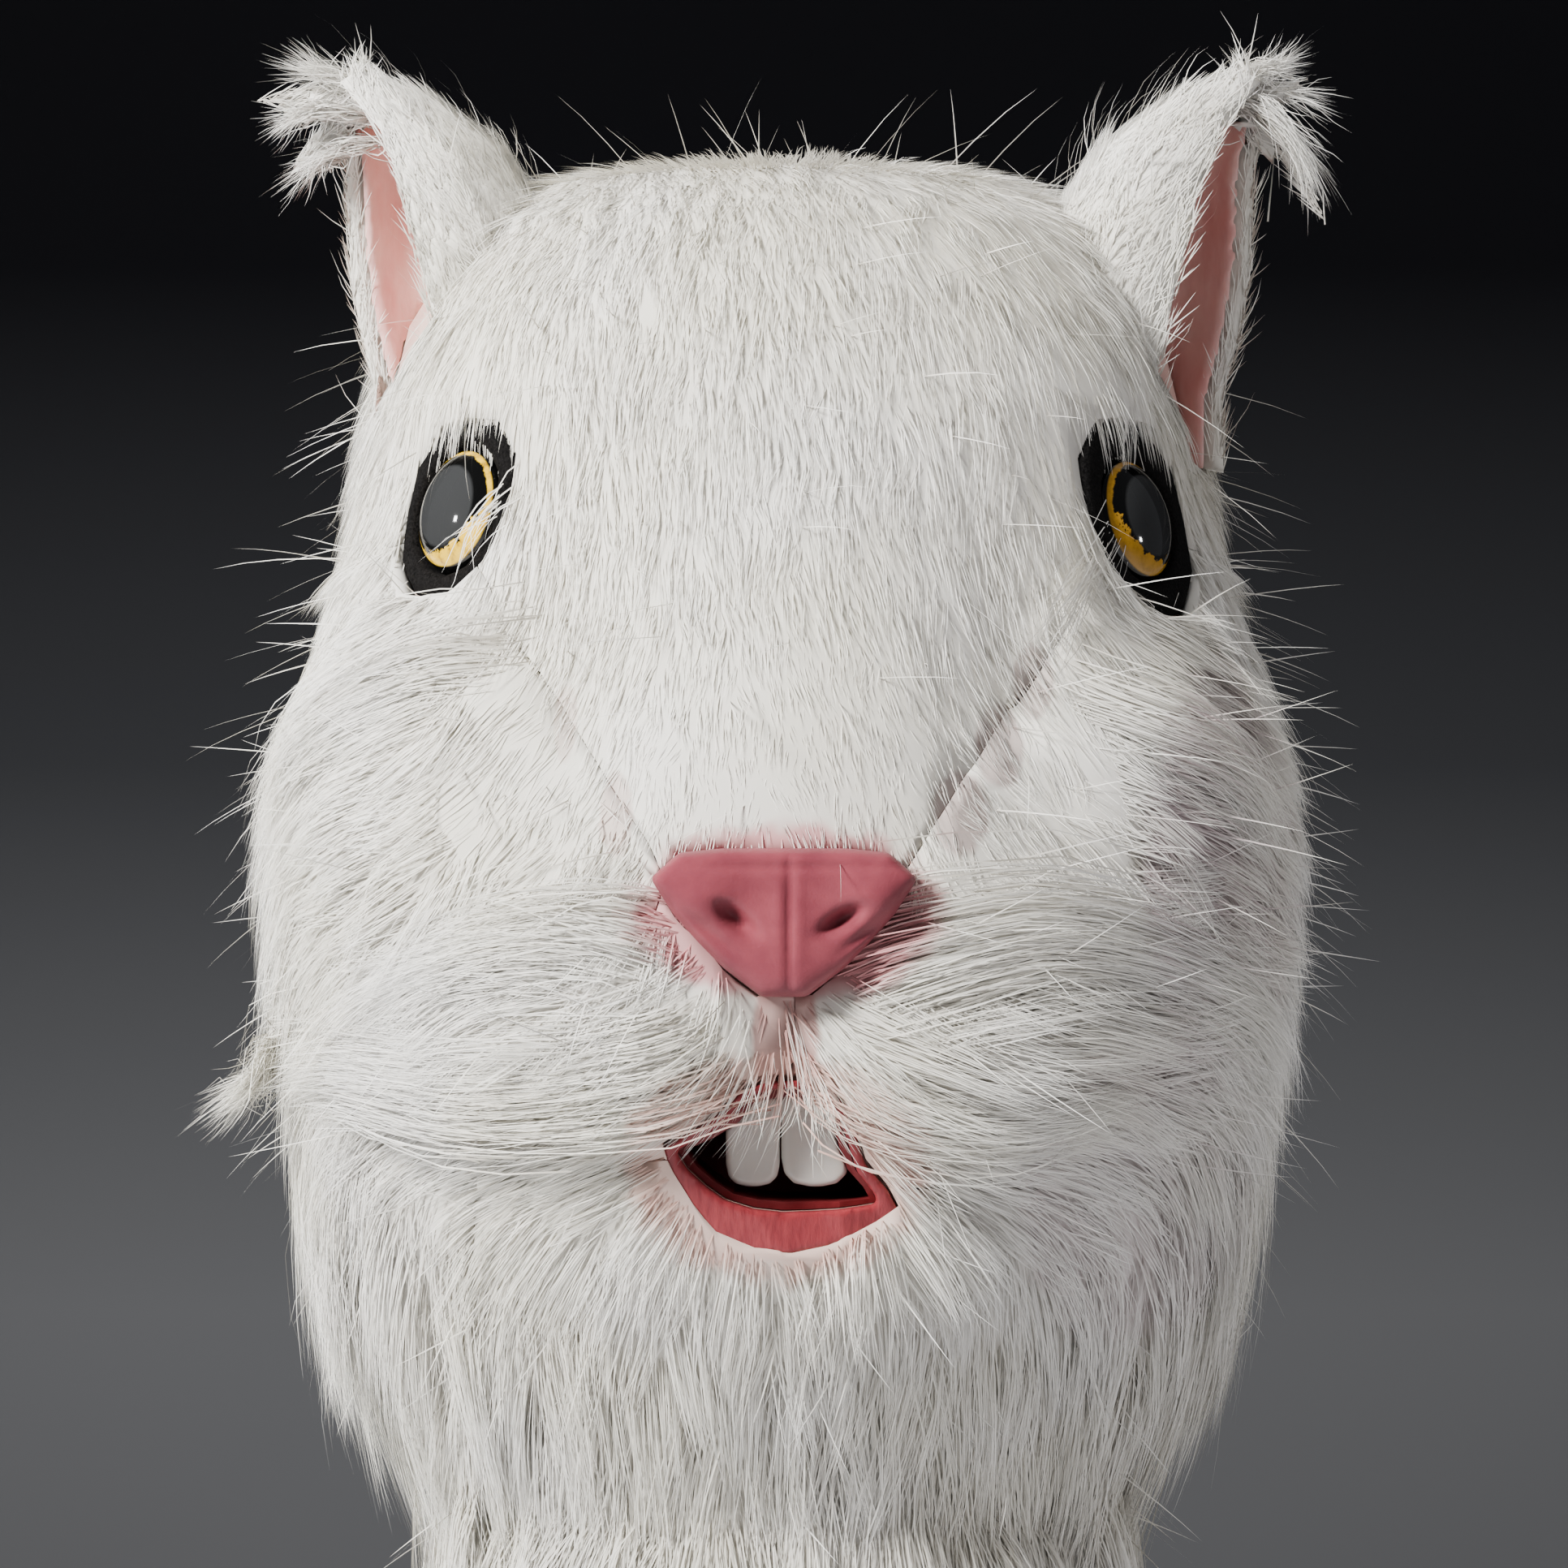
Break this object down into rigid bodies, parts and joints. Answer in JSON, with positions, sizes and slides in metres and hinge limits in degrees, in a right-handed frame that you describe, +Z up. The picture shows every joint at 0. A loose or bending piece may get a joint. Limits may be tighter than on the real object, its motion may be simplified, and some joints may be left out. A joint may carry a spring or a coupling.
{
  "type": "latex squirrel hood mask",
  "caption": "Full-head latex squirrel mask with long white fur, dark domed eyes, pink nose, open mouth and two front teeth.",
  "frame": {"origin": "inside of the hood's crown, where the wearer's head touches it", "axes": "+Z up, the face looks along -Y, +X is on the right of the face as it is seen from the front"},
  "size_m": [0.3128, 0.3131, 0.4408],
  "materials": {
    "latex_skin": "matte",
    "white_fur": "long pile",
    "eye_resin": "gloss",
    "eye_surround": "short flock",
    "nose_latex": "matte",
    "lip_latex": "satin",
    "mouth_latex": "satin",
    "tooth_resin": "satin",
    "ear_latex": "matte"
  },
  "bodies": {
    "root": {"hood": "latex_skin", "left_eye": "eye_resin", "right_eye": "eye_resin", "left_eye_rim": "eye_surround", "right_eye_rim": "eye_surround", "nose": "nose_latex", "mouth_lining": "mouth_latex", "lips": "lip_latex", "left_tooth": "tooth_resin", "right_tooth": "tooth_resin", "left_ear": "ear_latex", "right_ear": "ear_latex", "left_ear_fur": "white_fur", "right_ear_fur": "white_fur", "crown_fur": "white_fur", "nape_fur": "white_fur", "left_cheek_fur": "white_fur", "right_cheek_fur": "white_fur", "left_muzzle_fur": "white_fur", "right_muzzle_fur": "white_fur", "chin_fur": "white_fur", "neck_ruff": "white_fur"}
  },
  "joints": []
}
